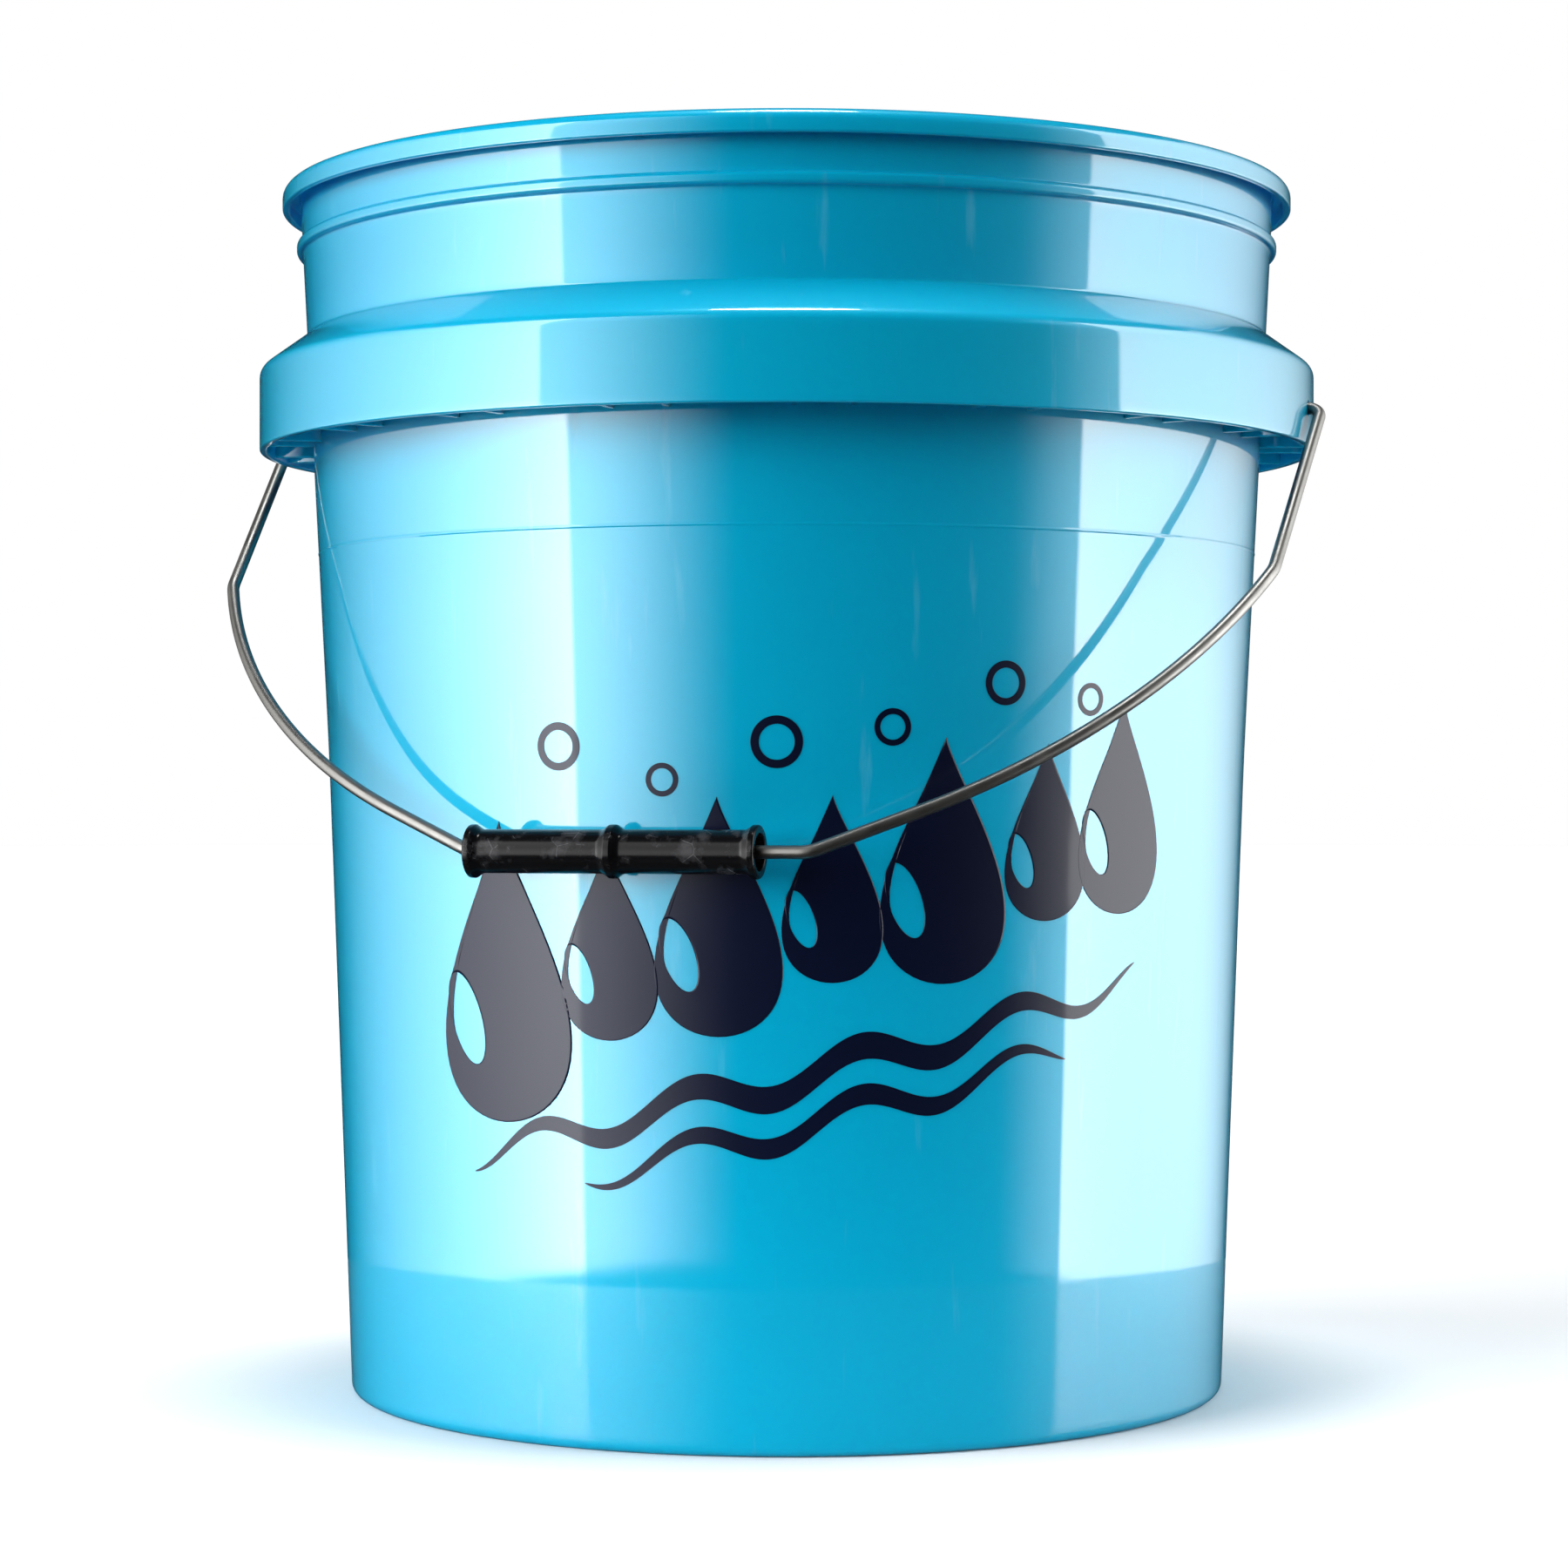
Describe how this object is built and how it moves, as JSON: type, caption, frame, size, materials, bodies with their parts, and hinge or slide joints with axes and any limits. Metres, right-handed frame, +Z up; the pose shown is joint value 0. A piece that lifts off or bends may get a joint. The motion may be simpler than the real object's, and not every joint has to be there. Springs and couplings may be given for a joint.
{
  "type": "wash bucket",
  "caption": "Open-head moulded plastic wash bucket with a ribbed skirt under the rim, a swinging round-wire bail and a free-rolling black tube grip.",
  "frame": {"origin": "centre of the circle that the pail stands on, at floor level", "axes": "+Z up along the pail's axis; the bail pivots along X; -Y is the side on which the bail hangs at rest"},
  "size_m": [0.326, 0.3154, 0.357],
  "materials": {
    "pail_plastic": "glossy moulded polyethylene, saturated cyan blue, slightly translucent",
    "bail_wire": "drawn steel wire with bright zinc plating",
    "grip_plastic": "glossy black moulded plastic with light scuffs",
    "print_ink": "glossy navy screen-print ink film on the pail's wall"
  },
  "bodies": {
    "pail": {"pail": "pail_plastic"},
    "bail": {"bail": "bail_wire"},
    "grip": {"grip": "grip_plastic"}
  },
  "joints": [
    {"name": "bail_swing", "type": "hinge", "parent": "pail", "child": "bail", "pos_m": [0, 0, 0.2895], "axis": [-1, 0, 0], "range_deg": [0, 263.2]},
    {"name": "grip_spin", "type": "hinge", "parent": "bail", "child": "grip", "pos_m": [0, -0.14367, 0.1619], "axis": [1, 0, 0], "continuous": true}
  ]
}
